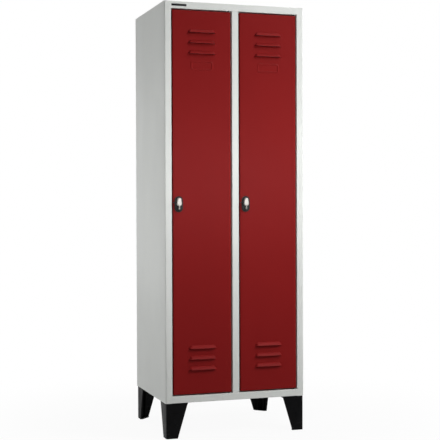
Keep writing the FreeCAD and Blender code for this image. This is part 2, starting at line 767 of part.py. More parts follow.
def latch_rosette(bay):
    """Dark plate on the door, with a padlock ear to the left and a threaded barrel behind."""
    x = bay.latch_x
    z_range = (LATCH_HEIGHT - ROSETTE_DROP, LATCH_HEIGHT + ROSETTE_RISE)
    plate_y = (ROSETTE_FACE, FRONT)
    plate = block((x - ROSETTE_RADIUS, x + ROSETTE_RADIUS), plate_y, z_range)
    ends = [rod(ROSETTE_RADIUS, Vector(x, ROSETTE_FACE, z), Vector(x, FRONT, z)) for z in z_range]
    ear_low = LATCH_HEIGHT + FIN_THICKNESS / 2 + EAR_GAP
    ear_z = (ear_low, ear_low + EAR_THICKNESS)
    wing = block((x - EYE_END, x), plate_y, ear_z)
    ear_x = (x - EYE_END, x - EYE_REACH + EYE_RADIUS + EYE_WALL)
    ear = block(ear_x, (EYE_FRONT, FRONT), ear_z)
    barrel = rod(BARREL_RADIUS, latch_axis(bay, ROSETTE_FACE), latch_axis(bay, FRONT + BARREL_LENGTH))
    rosette = joined([plate, wing, ear, barrel] + ends)
    bore = rod(
        SPINDLE_RADIUS + RUNNING_CLEARANCE, latch_axis(bay, HANDLE_FACE), latch_axis(bay, FRONT + BARREL_LENGTH)
    )
    eye = Vector(x - EYE_REACH, EYE_Y, ear_low)
    return without(rosette, [bore, rod(EYE_RADIUS, eye, eye + UPWARD * EAR_THICKNESS)])


def barrel_nut(bay):
    """Flat hexagon nut that clamps the latch to the door's skin."""
    base = latch_axis(bay, FRONT + SHEET)
    nut = hexagon(BARREL_NUT_RADIUS, base, INWARD * BARREL_NUT)
    return without(nut, [rod(BARREL_RADIUS + RUNNING_CLEARANCE, base, base + INWARD * BARREL_NUT)])


def latch_handle(bay):
    """Drop-shaped turning handle with a padlock fin below and the spindle behind."""
    drop = Part.Face(tapered_outline(HANDLE_RADIUS, HANDLE_TIP_RADIUS, HANDLE_TIP_RISE))
    drop = drop.extrude(UPWARD * HANDLE_THICKNESS)
    drop = facing_front(drop, bay.latch_x, HANDLE_BACK, LATCH_HEIGHT)
    drop = drop.makeFillet(HANDLE_ROUND, edges_at(drop, HANDLE_FACE))
    half_fin = FIN_THICKNESS / 2
    fin = block(
        (bay.latch_x - half_fin, bay.latch_x + half_fin),
        (EYE_FRONT, HANDLE_BACK),
        (LATCH_HEIGHT - EYE_END, LATCH_HEIGHT),
    )
    spindle = rod(SPINDLE_RADIUS, latch_axis(bay, HANDLE_BACK - EYE_WALL), latch_axis(bay, TONGUE_BACK))
    eye = Vector(bay.latch_x - half_fin, EYE_Y, LATCH_HEIGHT - EYE_REACH)
    screw_end = latch_axis(bay, TONGUE_BACK - SCREW_LENGTH)
    screw_hole = rod(SCREW_RADIUS + RUNNING_CLEARANCE, screw_end, latch_axis(bay, TONGUE_BACK))
    eye_hole = rod(EYE_RADIUS, eye, eye + ACROSS * FIN_THICKNESS)
    return without(joined([drop, fin, spindle]), [eye_hole, screw_hole])


def latch_tongue(bay):
    """Flat bar on the spindle that turns behind the stop lip."""
    half = TONGUE_WIDTH / 2
    y_range = (TONGUE_FRONT, TONGUE_BACK)
    bar = block(
        (bay.latch_x - half, bay.latch_x + half), y_range, (LATCH_HEIGHT - TONGUE_REACH, LATCH_HEIGHT)
    )
    boss = rod(half, latch_axis(bay, TONGUE_FRONT), latch_axis(bay, TONGUE_BACK))
    hole = rod(SPINDLE_RADIUS + RUNNING_CLEARANCE, latch_axis(bay, TONGUE_FRONT), latch_axis(bay, TONGUE_BACK))
    return without(joined([bar, boss]), [hole])


def tongue_screw(bay):
    """Screw with its washer, which holds the tongue on the spindle."""
    washer_back = TONGUE_BACK + WASHER_THICKNESS
    return joined([
        rod(WASHER_RADIUS, latch_axis(bay, TONGUE_BACK), latch_axis(bay, washer_back)),
        hexagon(SCREW_HEAD_RADIUS, latch_axis(bay, washer_back), INWARD * SCREW_HEAD),
        rod(SCREW_RADIUS, latch_axis(bay, TONGUE_BACK - SCREW_LENGTH), latch_axis(bay, TONGUE_BACK)),
    ])


# The whole locker

def carcass_nodes():
    """Sheet pieces of the carcass, by name."""
    return {
        "side_panel_left": side_panel(),
        "side_panel_right": mirrored_sideways(side_panel()),
        "door_stop_left": door_stop(),
        "door_stop_right": mirrored_sideways(door_stop()),
        "roof_panel": roof_panel(),
        "bottom_rail": bottom_rail(),
        "floor_panel": floor_panel(),
        "back_panel": back_panel(),
        "centre_partition": centre_partition(),
        "centre_stile": centre_stile(),
    }


def foot_nodes():
    """The four feet and what bolts them on, by name."""
    front_left = front_left_foot()
    rear_left = front_left.mirror(Vector(0, MIDDLE, 0), INWARD)
    return {
        "foot_front_left": front_left,
        "foot_front_right": mirrored_sideways(front_left),
        "foot_rear_left": rear_left,
        "foot_rear_right": mirrored_sideways(rear_left),
        "foot_bolts": foot_bolts(),
        "foot_nuts": foot_nuts(),
    }


def bay_nodes(bay):
    """Everything that each compartment has, by name."""
    makers = (
        hat_shelf,
        coat_rail,
        rail_sockets,
        hinge_pins,
        door_buffers,
        door_panel,
        door_stiffener,
        hinge_bushes,
        latch_rosette,
        barrel_nut,
        latch_handle,
        latch_tongue,
        tongue_screw,
    )
    nodes = {make.__name__ + "_" + bay.name: make(bay) for make in makers}
    for index, x in enumerate(hook_places(bay)):
        nodes["coat_hook_" + bay.name + "_" + str(index + 1)] = coat_hook(x)
    return nodes


def main():
    """Build every piece and write it to its own file."""
    os.makedirs("parts", exist_ok=True)
    nodes = {**carcass_nodes(), **foot_nodes()}
    for bay in BAYS:
        nodes.update(bay_nodes(bay))
    for name, shape in nodes.items():
        shape.exportStep(os.path.join("parts", name + ".step"))
        print(name, len(shape.Solids), shape.isValid(), round(shape.Volume))


main()
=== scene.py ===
"""Looks of a two-door clothing locker: its finishes, its small fittings, the studio and the camera.

Metres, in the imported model's frame: +X to the right, +Y to the back, +Z up, and the doors face -Y.
"""
import logging
import math
from dataclasses import dataclass
from enum import Enum
from typing import Iterable

import bmesh
import bpy
from mathutils import Matrix, Vector


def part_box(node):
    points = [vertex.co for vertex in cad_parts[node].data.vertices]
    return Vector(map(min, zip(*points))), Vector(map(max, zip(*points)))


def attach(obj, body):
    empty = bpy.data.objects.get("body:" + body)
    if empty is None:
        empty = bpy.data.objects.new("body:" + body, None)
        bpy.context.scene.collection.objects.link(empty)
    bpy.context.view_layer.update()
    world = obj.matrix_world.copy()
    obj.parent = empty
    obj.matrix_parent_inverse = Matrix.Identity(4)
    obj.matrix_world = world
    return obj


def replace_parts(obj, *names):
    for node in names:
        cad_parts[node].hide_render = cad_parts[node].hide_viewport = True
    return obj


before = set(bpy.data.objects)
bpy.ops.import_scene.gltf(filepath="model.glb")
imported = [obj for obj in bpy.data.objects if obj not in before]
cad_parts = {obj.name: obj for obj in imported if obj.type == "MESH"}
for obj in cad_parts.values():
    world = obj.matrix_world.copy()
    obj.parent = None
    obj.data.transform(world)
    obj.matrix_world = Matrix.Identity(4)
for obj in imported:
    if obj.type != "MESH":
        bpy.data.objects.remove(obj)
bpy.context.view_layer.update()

LOG = logging.getLogger("locker")

Colour = tuple[float, float, float]
Point = tuple[float, float, float]
Span = tuple[float, float]

FLAT_TURN = math.radians(0.5)
SHARP_TURN = math.radians(32.0)
MERGE_DISTANCE = 1e-6
EVEN: Point = (1.0, 1.0, 1.0)
NOISE_MEAN = 0.5
NOISE_SPAN: Span = (0.3, 0.7)
WHITE = (1.0, 1.0, 1.0, 1.0)
BACKWARD = Vector((0.0, 1.0, 0.0))
FEET = ("front_left", "front_right", "rear_left", "rear_right")
FOOT_FASTENERS = ("foot_bolts", "foot_nuts")


class Slot(Enum):
    """The record's material slots."""

    GREY_COAT = "grey_coat"
    RED_COAT = "red_coat"
    BLACK_MOULDING = "black_moulding"
    LATCH_BLACK = "latch_black"
    NICKEL = "nickel"
    ZINC = "zinc"
    # BLACK_NYLON_AND_SHADE and BLACK_STEEL_AND_SHADE are black partly as their own finish and partly as
    # painted shade, for the hinge parts seen in the door gaps.
    BLACK_NYLON_AND_SHADE = "nylon"
    BUFFER_RUBBER = "buffer_rubber"
    BLACK_STEEL_AND_SHADE = "black_steel"


class Side(Enum):
    """The two compartments."""

    LEFT = "left"
    RIGHT = "right"


class Detail(Enum):
    """How many finer layers a noise has."""

    PLAIN = 1.0
    SOFT = 2.0
    CLOUDY = 3.0
    PATCHY = 4.0
    TORN = 5.0


class Signal:
    """A shader value that takes part in Python expressions."""

    def __init__(self, sheet: "ShaderSheet", socket: bpy.types.NodeSocket) -> None:
        """Wrap one output socket of a sheet."""
        self.sheet = sheet
        self.socket = socket

    def _maths(self, operation: str, first: "Signal | float", second: "Signal | float") -> "Signal":
        """Add one Math node.

        Args:
            operation: The Math node's operation.
            first: Its first value.
            second: Its second value.

        Returns:
            The node's result.
        """
        node = self.sheet.node("ShaderNodeMath", {"operation": operation}, {0: first, 1: second})
        return Signal(self.sheet, node.outputs[0])

    def __add__(self, other: "Signal | float") -> "Signal":
        """Sum."""
        return self._maths("ADD", self, other)

    def __radd__(self, other: float) -> "Signal":
        """Sum, with the number first."""
        return self._maths("ADD", other, self)

    def __sub__(self, other: "Signal | float") -> "Signal":
        """Difference."""
        return self._maths("SUBTRACT", self, other)

    def __rsub__(self, other: float) -> "Signal":
        """Difference, with the number first."""
        return self._maths("SUBTRACT", other, self)

    def __mul__(self, other: "Signal | float") -> "Signal":
        """Product."""
        return self._maths("MULTIPLY", self, other)

    def larger(self, other: "Signal | float") -> "Signal":
        """The larger of two values."""
        return self._maths("MAXIMUM", self, other)

    def between(self, low: float, high: float) -> "Signal":
        """Rise smoothly from 0 at one value to 1 at another.

        Args:
            low: The value that gives 0.
            high: The value that gives 1.

        Returns:
            The smoothed, limited result.
        """
        settings = {"interpolation_type": "SMOOTHSTEP"}
        node = self.sheet.node("ShaderNodeMapRange", settings, {0: self, 1: low, 2: high})
        return Signal(self.sheet, node.outputs[0])


class ShaderSheet:
    """The node tree of one material or world.

    Attributes:
        EDGE_SAMPLES: Rays that look for an edge at each point.
    """

    EDGE_SAMPLES = 4

    def __init__(self, owner: bpy.types.Material | bpy.types.World) -> None:
        """Clear the owner's nodes and start on its tree.

        Args:
            owner: The material or world.
        """
        owner.use_nodes = True
        self.tree = owner.node_tree
        self.tree.nodes.clear()

    def node(
        self,
        kind: str,
        settings: dict[str, object] | None = None,
        sockets: dict[str | int, object] | None = None,
    ) -> bpy.types.Node:
        """Add a node.

        Args:
            kind: The node's type.
            settings: Its properties, which are set first.
            sockets: Values, signals or sockets for its inputs.

        Returns:
            The new node.
        """
        made = self.tree.nodes.new(kind)
        for name, value in (settings or {}).items():
            setattr(made, name, value)
        for key, value in (sockets or {}).items():
            if isinstance(value, Signal):
                self.tree.links.new(value.socket, made.inputs[key])
            elif isinstance(value, bpy.types.NodeSocket):
                self.tree.links.new(value, made.inputs[key])
            else:
                made.inputs[key].default_value = value
        return made

    def place(self) -> bpy.types.NodeSocket:
        """The point of the surface in the model's own frame."""
        return self.node("ShaderNodeTexCoord").outputs["Object"]

    def height(self) -> Signal:
        """How high the point is above the floor."""
        return Signal(self, self.node("ShaderNodeSeparateXYZ", None, {0: self.place()}).outputs["Z"])

    def noise(self, scale: float, detail: Detail, stretch: Point = EVEN) -> Signal:
        """Soft random cloud from 0 to 1.

        Args:
            scale: Lumps in a metre.
            detail: How many finer layers it has.
            stretch: How much closer the lumps lie on each axis.

        Returns:
            The cloud's value.
        """
        mapped = self.node("ShaderNodeMapping", None, {"Vector": self.place(), "Scale": stretch})
        sockets = {"Vector": mapped.outputs[0], "Scale": scale, "Detail": detail.value}
        return Signal(self, self.node("ShaderNodeTexNoise", None, sockets).outputs[0])

    def cells(self, scale: float) -> bpy.types.Node:
        """Random cells.

        Args:
            scale: Cells in a metre.

        Returns:
            The Voronoi node, with its Distance and Color.
        """
        return self.node("ShaderNodeTexVoronoi", None, {"Vector": self.place(), "Scale": scale})

    def edges(self, radius: float) -> Signal:
        """How near the point is to an edge.

        Args:
            radius: How far the edge reaches.

        Returns:
            0 on open faces, rising towards edges.
        """
        soft = self.node("ShaderNodeBevel", {"samples": self.EDGE_SAMPLES}, {"Radius": radius})
        true = self.node("ShaderNodeNewGeometry")
        sockets = {0: soft.outputs[0], 1: true.outputs["Normal"]}
        dot = self.node("ShaderNodeVectorMath", {"operation": "DOT_PRODUCT"}, sockets)
        return 1.0 - Signal(self, dot.outputs["Value"])

    def blended(self, factor: Signal, first: object, second: object) -> bpy.types.NodeSocket:
        """Mix two colours.

        Args:
            factor: 0 for the first colour, 1 for the second.
            first: A colour or a colour socket.
            second: A colour or a colour socket.

        Returns:
            The mixed colour.
        """
        values = [(*item, 1.0) if isinstance(item, tuple) else item for item in (first, second)]
        node = self.node("ShaderNodeMix", {"data_type": "RGBA"}, {0: factor, 6: values[0], 7: values[1]})
        return node.outputs[2]

    def bumped(self, height: Signal, strength: float, depth: float) -> bpy.types.NodeSocket:
        """A normal that follows fine relief.

        Args:
            height: The relief, from 0 to 1.
            strength: How much of it shows.
            depth: The relief's height in metres.

        Returns:
            The normal.
        """
        sockets = {"Strength": strength, "Distance": depth, "Height": height}
        return self.node("ShaderNodeBump", None, sockets).outputs[0]

    def surface(self, shader: bpy.types.NodeSocket, output: str = "ShaderNodeOutputMaterial") -> None:
        """Send a shader to the sheet's output."""
        self.node(output, None, {"Surface": shader})

    def principled(self, sockets: dict[str, object]) -> None:
        """Send a Principled shader with some inputs to the output."""
        self.surface(self.node("ShaderNodeBsdfPrincipled", None, sockets).outputs[0])


@dataclass(frozen=True)
class EdgeWear:
    """Patchy wear along the edges.

    Attributes:
        reach: How far it reaches from an edge.
        edge_span: Nearness to an edge at which it starts and is full.
        scale: Patches in a metre.
        detail: Finer layers of the patches.
        patch_span: Noise values between which a patch fades in.
    """

    reach: float
    edge_span: Span
    scale: float
    detail: Detail
    patch_span: Span

    def on(self, sheet: ShaderSheet) -> Signal:
        """Add the wear to a sheet.

        Args:
            sheet: The material's sheet.

        Returns:
            0 on fresh faces, up to 1 on worn edges.
        """
        patches = sheet.noise(self.scale, self.detail).between(*self.patch_span)
        return sheet.edges(self.reach).between(*self.edge_span) * patches


@dataclass(frozen=True)
class Finish:
    """What every finish has.

    Attributes:
        name: The material's name.
        colour: Its base colour, linear.
        roughness: Its mean roughness.
    """

    name: str
    colour: Colour
    roughness: float

    def sheet(self) -> tuple[bpy.types.Material, ShaderSheet]:
        """Start a new material of this name."""
        material = bpy.data.materials.new(self.name)
        return material, ShaderSheet(material)

    def shade(self, factor: float) -> Colour:
        """A lighter or darker version of the base colour."""
        return (self.colour[0] * factor, self.colour[1] * factor, self.colour[2] * factor)

    def tones(self, sheet: ShaderSheet, factor: Signal, ends: Span) -> bpy.types.NodeSocket:
        """Vary the base colour.

        Args:
            sheet: The material's sheet.
            factor: 0 for the darkest tone, 1 for the lightest.
            ends: The darkest and the lightest tone, as shares of the base colour.

        Returns:
            The varied colour.
        """
        return sheet.blended(factor, self.shade(ends[0]), self.shade(ends[1]))

    def make(self) -> bpy.types.Material:
        """Build the material."""
        raise NotImplementedError


@dataclass(frozen=True)
class PowderCoat(Finish):
    """Satin powder coat with a fine orange peel, slow changes of tone and rubbed edges.

    Attributes:
        rubbed: Colour of the edges where hands and shoes rub.
        gloss: Specular level.
        cloud_scale: Slow changes of tone in a metre.
        cloud_stretch: How much closer they lie on each axis.
        fleck_scale: Fine flecks in a metre.
        fleck_share: How much of the tone comes from the flecks.
        tone_ends: Darkest and lightest tone.
        wear: Where the edges are rubbed.
        wear_most: How much of the rubbed colour shows at most.
        wear_dulls: How much wear adds to the roughness.
        smear_scale: Smears in a metre.
        smear_stretch: How much closer they lie on each axis.
        smear_swing: How much smears change the roughness.
        peel_scale: Lumps of the orange peel in a metre.
        peel_shows: How much of the peel shows.
        peel_height: Height of the peel.
    """

    rubbed: Colour
    gloss: float
    cloud_scale: float = 3.0
    cloud_stretch: Point = (1.0, 1.0, 0.6)
    fleck_scale: float = 700.0
    fleck_share: float = 0.3
    tone_ends: Span = (0.955, 1.045)
    wear: EdgeWear = EdgeWear(0.0011, (0.03, 0.22), 42.0, Detail.PATCHY, (0.35, 0.75))
    wear_most: float = 0.45
    wear_dulls: float = 0.1
    smear_scale: float = 9.0
    smear_stretch: Point = (1.0, 1.0, 0.35)
    smear_swing: float = 0.16
    peel_scale: float = 330.0
    peel_shows: float = 0.35
    peel_height: float = 0.00025

    def make(self) -> bpy.types.Material:
        """Build the material.

        Returns:
            The powder coat.
        """
        material, sheet = self.sheet()
        cloud = sheet.noise(self.cloud_scale, Detail.CLOUDY, self.cloud_stretch)
        fleck = sheet.noise(self.fleck_scale, Detail.PLAIN)
        mottle = cloud * (1.0 - self.fleck_share) + fleck * self.fleck_share
        tone = self.tones(sheet, mottle.between(*NOISE_SPAN), self.tone_ends)
        wear = self.wear.on(sheet)
        smear = sheet.noise(self.smear_scale, Detail.PATCHY, self.smear_stretch)
        peel = sheet.noise(self.peel_scale, Detail.SOFT)
        smeared = self.roughness + (smear - NOISE_MEAN) * self.smear_swing
        sheet.principled(
            {
                "Base Color": sheet.blended(wear * self.wear_most, tone, self.rubbed),
                "Roughness": smeared + wear * self.wear_dulls,
                "Specular IOR Level": self.gloss,
                "Normal": sheet.bumped(peel, self.peel_shows, self.peel_height),
            }
        )
        return material


@dataclass(frozen=True)
class MouldedPlastic(Finish):
    """Black moulding with a fine leather grain and scuffs near the floor.

    Attributes:
        scuffed: Colour of the scuffs.
        grain: Cells of the grain in a metre.
        gloss: Specular level.
        grain_shows: How much of the grain shows.
        grain_height: Height of the grain.
        cloud_scale: Changes of tone in a metre.
        cloud_swing: How much they change the roughness.
        tone_ends: Darkest and lightest tone.
        scuff_top: Height above the floor up to which shoes scuff it.
        streak_scale: Scuff streaks in a metre.
        streak_stretch: How much closer they lie on each axis.
        streak_span: Noise values between which a streak fades in.
        wear: Where the edges are rubbed.
        wear_share: How strong worn edges are beside scuffs.
        scuff_most: How much of the scuffed colour shows at most.
        scuff_dulls: How much scuffs add to the roughness.
    """

    scuffed: Colour
    grain: float
    gloss: float
    grain_shows: float = 0.3
    grain_height: float = 0.0003
    cloud_scale: float = 25.0
    cloud_swing: float = 0.2
    tone_ends: Span = (0.8, 1.25)
    scuff_top: float = 0.07
    streak_scale: float = 38.0
    streak_stretch: Point = (1.0, 1.0, 4.0)
    streak_span: Span = (0.54, 0.72)
    wear: EdgeWear = EdgeWear(0.0012, (0.03, 0.25), 90.0, Detail.CLOUDY, (0.35, 0.7))
    wear_share: float = 0.6
    scuff_most: float = 0.7
    scuff_dulls: float = 0.15

    def make(self) -> bpy.types.Material:
        """Build the material.

        Returns:
            The plastic.
        """
        material, sheet = self.sheet()
        cloud = sheet.noise(self.cloud_scale, Detail.CLOUDY)
        tone = self.tones(sheet, cloud.between(*NOISE_SPAN), self.tone_ends)
        low = 1.0 - sheet.height().between(0.0, self.scuff_top)
        streak = sheet.noise(self.streak_scale, Detail.TORN, self.streak_stretch).between(*self.streak_span)
        scuff = (low * streak).larger(self.wear.on(sheet) * self.wear_share)
        cell = Signal(sheet, sheet.cells(self.grain).outputs["Distance"])
        clouded = self.roughness + (cloud - NOISE_MEAN) * self.cloud_swing
        sheet.principled(
            {
                "Base Color": sheet.blended(scuff * self.scuff_most, tone, self.scuffed),
                "Roughness": clouded + scuff * self.scuff_dulls,
                "Specular IOR Level": self.gloss,
                "Normal": sheet.bumped(cell, self.grain_shows, self.grain_height),
            }
        )
        return material


@dataclass(frozen=True)
class PlatedMetal(Finish):
    """Plated steel with a fine grain of polish, finger smears and a passivated mottle.

    Attributes:
        mottle: How much the tone changes from spangle to spangle.
        spangle: Spangles in a metre.
        grain: Height of the polishing grain in metres.
        flake_share: How much of the mottle comes from the spangles.
        flake_dulls: How much the mottle adds to the roughness.
        cloud_scale: Other changes of tone in a metre.
        mottle_span: Values between which the mottle goes from dark to light.
        smear_scale: Finger smears in a metre.
        smear_stretch: How much closer they lie on each axis.
        smear_swing: How much smears change the roughness.
        grain_scale: Lines of the polishing grain in a metre.
        grain_stretch: How much closer they lie on each axis.
        grain_shows: How much of the grain shows.
    """

    mottle: float
    spangle: float
    grain: float
    flake_share: float = 0.6
    flake_dulls: float = 0.3
    cloud_scale: float = 60.0
    mottle_span: Span = (0.1, 0.9)
    smear_scale: float = 120.0
    smear_stretch: Point = (1.0, 1.0, 0.5)
    smear_swing: float = 0.18
    grain_scale: float = 900.0
    grain_stretch: Point = (1.0, 1.0, 0.15)
    grain_shows: float = 0.2

    def make(self) -> bpy.types.Material:
        """Build the material.

        Returns:
            The plated metal.
        """
        material, sheet = self.sheet()
        cells = sheet.cells(self.spangle)
        split = sheet.node("ShaderNodeSeparateColor", None, {0: cells.outputs["Color"]})
        flake = Signal(sheet, split.outputs[0])
        cloud = sheet.noise(self.cloud_scale, Detail.PATCHY)
        blend = (flake * self.flake_share + cloud * (1.0 - self.flake_share)).between(*self.mottle_span)
        smear = sheet.noise(self.smear_scale, Detail.TORN, self.smear_stretch)
        brushed = sheet.noise(self.grain_scale, Detail.SOFT, self.grain_stretch)
        smeared = self.roughness + (smear - NOISE_MEAN) * self.smear_swing
        sheet.principled(
            {
                "Base Color": self.tones(sheet, blend, (1.0 - self.mottle, 1.0 + self.mottle / 2)),
                "Metallic": 1.0,
                "Roughness": smeared + flake * self.mottle * self.flake_dulls,
                "Normal": sheet.bumped(brushed, self.grain_shows, self.grain),
            }
        )
        return material


@dataclass(frozen=True)
class PlainPolymer(Finish):
    """Rubber or nylon with a matt, slightly uneven skin.

    Attributes:
        relief: Height of the skin's relief in metres.
        gloss: Specular level.
        cloud_scale: Changes of tone in a metre.
        cloud_swing: How much they change the roughness.
        tone_ends: Darkest and lightest tone.
        pore_scale: Pores in a metre.
        pores_show: How much of the pores shows.
    """

    relief: float
    gloss: float = 0.35
    cloud_scale: float = 180.0
    cloud_swing: float = 0.15
    tone_ends: Span = (0.85, 1.12)
    pore_scale: float = 1600.0
    pores_show: float = 0.3

    def make(self) -> bpy.types.Material:
        """Build the material.

        Returns:
            The polymer.
        """
        material, sheet = self.sheet()
        cloud = sheet.noise(self.cloud_scale, Detail.CLOUDY)
        pores = sheet.noise(self.pore_scale, Detail.SOFT)
        sheet.principled(
            {
                "Base Color": self.tones(sheet, cloud.between(*NOISE_SPAN), self.tone_ends),
                "Roughness": self.roughness + (cloud - NOISE_MEAN) * self.cloud_swing,
                "Specular IOR Level": self.gloss,
                "Normal": sheet.bumped(pores, self.pores_show, self.relief),
            }
        )
        return material


FINISHES: dict[Slot, Finish] = {
    Slot.GREY_COAT: PowderCoat(
        "grey_powder_coat", (0.71, 0.73, 0.705), 0.5, rubbed=(0.56, 0.57, 0.56), gloss=0.2
    ),
    Slot.RED_COAT: PowderCoat(
        "red_powder_coat", (0.21, 0.0095, 0.0095), 0.46, rubbed=(0.28, 0.028, 0.026), gloss=0.06
    ),
    Slot.BLACK_MOULDING: MouldedPlastic(
        "black_moulding", (0.004, 0.004, 0.0044), 0.45, scuffed=(0.03, 0.03, 0.03), grain=1100.0, gloss=0.05
    ),
    # Black casting for the blank plate and the latch plates; on a latch plate this black is partly painted
    # shade around the handle.
    Slot.LATCH_BLACK: MouldedPlastic(
        "black_casting", (0.008, 0.008, 0.009), 0.4, scuffed=(0.05, 0.05, 0.05), grain=1800.0, gloss=0.2
    ),
    Slot.NICKEL: PlatedMetal(
        "nickel_plate", (0.36, 0.338, 0.318), 0.38, mottle=0.05, spangle=300.0, grain=0.00002
    ),
    Slot.ZINC: PlatedMetal(
        "zinc_plate", (0.58, 0.58, 0.60), 0.36, mottle=0.22, spangle=160.0, grain=0.00005
    ),
    # Hinge bushes: black partly as black nylon and partly as painted shade in the door gaps.
    Slot.BLACK_NYLON_AND_SHADE: PlainPolymer("black_nylon_and_shade", (0.015, 0.015, 0.015), 0.5, relief=0.00005),
    # Hinge pins: blackened partly as a real finish and partly as painted shade in the door gaps.
    Slot.BLACK_STEEL_AND_SHADE: PlatedMetal(
        "blackened_steel_and_shade", (0.03, 0.03, 0.031), 0.45, mottle=0.12, spangle=220.0, grain=0.00004
    ),
    Slot.BUFFER_RUBBER: PlainPolymer("black_rubber", (0.018, 0.018, 0.018), 0.7, relief=0.0001),
}


class FinishRack:
    """The materials, each made once."""

    def __init__(self) -> None:
        """Start with no material made."""
        self._made: dict[Slot, bpy.types.Material] = {}

    def take(self, slot: Slot) -> bpy.types.Material:
        """Give a slot's material.

        Args:
            slot: The slot.

        Returns:
            Its material.
        """
        if slot not in self._made:
            self._made[slot] = FINISHES[slot].make()
        return self._made[slot]

    def dress(self, node: str, slot: Slot) -> None:
        """Put a slot's material on a CAD node.

        Args:
            node: The node's name.
            slot: The slot.
        """
        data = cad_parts[node].data
        data.materials.clear()
        data.materials.append(self.take(slot))
        LOG.info("dressed %s with %s", node, slot.value)


class Workpiece:
    """A mesh in the making.

    Attributes:
        HEAD_TAPER: Radius of a round head's top, as a share of its foot's.
        HEAD_TOP: Share of a head's height above which an edge is on its top.
        HEAD_ROUNDING: Rounding of a head's top, as a share of its height.
        HEAD_FACES: Faces across that rounding.
    """

    HEAD_TAPER = 0.8
    HEAD_TOP = 0.9
    HEAD_ROUNDING = 0.45
    HEAD_FACES = 2

    def __init__(self) -> None:
        """Start empty."""
        self.mesh = bmesh.new()

    def _around(self, verts: Iterable[bmesh.types.BMVert]) -> list[bmesh.types.BMEdge]:
        """The edges that meet some vertices, each once and in a steady order."""
        return list(dict.fromkeys(edge for vert in verts for edge in vert.link_edges))

    def bevel(self, edges: list[bmesh.types.BMEdge], width: float, segments: int) -> None:
        """Round some edges.

        Args:
            edges: The edges.
            width: How far the rounding reaches.
            segments: How many faces it has across.
        """
        bmesh.ops.bevel(
            self.mesh,
            geom=edges,
            offset=width,
            offset_type="OFFSET",
            segments=segments,
            profile=0.5,
            affect="EDGES",
            clamp_overlap=True,
            material=-1,
        )

    def block(self, low: Vector, high: Vector, rounding: float, segments: int = 2) -> None:
        """Add a box with rounded edges.

        Args:
            low: Its lowest corner.
            high: Its highest corner.
            rounding: Width of the rounding.
            segments: Faces across the rounding.
        """
        verts = bmesh.ops.create_cube(self.mesh, size=1.0)["verts"]
        bmesh.ops.scale(self.mesh, vec=high - low, verts=verts)
        bmesh.ops.translate(self.mesh, vec=(low + high) / 2, verts=verts)
        self.bevel(self._around(verts), rounding, segments)

    def button(self, centre: Vector, way: Vector, radius: float, rise: float, segments: int = 12) -> None:
        """Add a low round head that stands on a surface.

        Args:
            centre: The middle of its foot.
            way: The way that it stands up.
            radius: Its radius.
            rise: Its height.
            segments: Corners of its outline.
        """
        turn = way.to_track_quat("Z", "Y").to_matrix().to_4x4()
        matrix = Matrix.Translation(centre + way * rise / 2) @ turn
        made = bmesh.ops.create_cone(
            self.mesh,
            cap_ends=True,
            segments=segments,
            radius1=radius,
            radius2=radius * self.HEAD_TAPER,
            depth=rise,
            matrix=matrix,
        )
        top = [
            edge
            for edge in self._around(made["verts"])
            if all((vert.co - centre).dot(way) > rise * self.HEAD_TOP for vert in edge.verts)
        ]
        self.bevel(top, rise * self.HEAD_ROUNDING, self.HEAD_FACES)

    def deliver(self, name: str, slot: Slot, body: str, rack: FinishRack) -> bpy.types.Object:
        """Turn the mesh into a piece of the locker.

        Args:
            name: The piece's name.
            slot: Its material slot.
            body: The body that it rides on.
            rack: Where its material comes from.

        Returns:
            The piece.
        """
        bmesh.ops.recalc_face_normals(self.mesh, faces=self.mesh.faces)
        data = bpy.data.meshes.new(name)
        self.mesh.to_mesh(data)
        self.mesh.free()
        data.polygons.foreach_set("use_smooth", [True] * len(data.polygons))
        data.set_sharp_from_angle(angle=SHARP_TURN)
        data.materials.append(rack.take(slot))
        piece = bpy.data.objects.new(name, data)
        bpy.context.scene.collection.objects.link(piece)
        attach(piece, body)
        LOG.info("made %s with %d faces on %s", name, len(data.polygons), body)
        return piece


class RoundedCopy(Workpiece):
    """A CAD node's shape with its sharp edges rounded."""

    def __init__(self, node: str, width: float, segments: int = 2) -> None:
        """Copy a node, merge its loose triangles and round its edges.

        Args:
            node: The node's name.
            width: How far the rounding reaches.
            segments: Faces across the rounding.
        """
        super().__init__()
        self.node = node
        self.mesh.from_mesh(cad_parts[node].data)
        bmesh.ops.remove_doubles(self.mesh, verts=self.mesh.verts, dist=MERGE_DISTANCE)
        bmesh.ops.dissolve_limit(
            self.mesh, angle_limit=FLAT_TURN, verts=self.mesh.verts, edges=self.mesh.edges, delimit=set()
        )
        sharp = [edge for edge in self.mesh.edges if edge.calc_face_angle(0.0) > SHARP_TURN]
        self.bevel(sharp, width, segments)

    def stand_in(self, name: str, slot: Slot, body: str, rack: FinishRack) -> None:
        """Deliver the copy in the node's place.

        Args:
            name: The piece's name.
            slot: Its material slot.
            body: The body that it rides on.
            rack: Where its material comes from.
        """
        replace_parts(self.deliver(name, slot, body, rack), self.node)


@dataclass(frozen=True)
class SpotWelds:
    """The flat marks of spot welds in upright rows.

    Attributes:
        radius: Radius of a mark.
        rise: Height of a mark.
        pitch: From one mark to the next.
    """

    radius: float
    rise: float
    pitch: float

    def row(self, marks: Workpiece, x: float, y: float, low: float, high: float) -> None:
        """Add one row of marks that face backward.

        Args:
            marks: The mesh that takes them.
            x: Where the row is.
            y: The face that the marks are on.
            low: Lower end of the welded edge.
            high: Upper end of the welded edge.
        """
        count = int((high - low) / self.pitch)
        start = (low + high - self.pitch * (count - 1)) / 2
        for index in range(count):
            foot = Vector((x, y, start + self.pitch * index))
            marks.button(foot, BACKWARD, self.radius, self.rise)


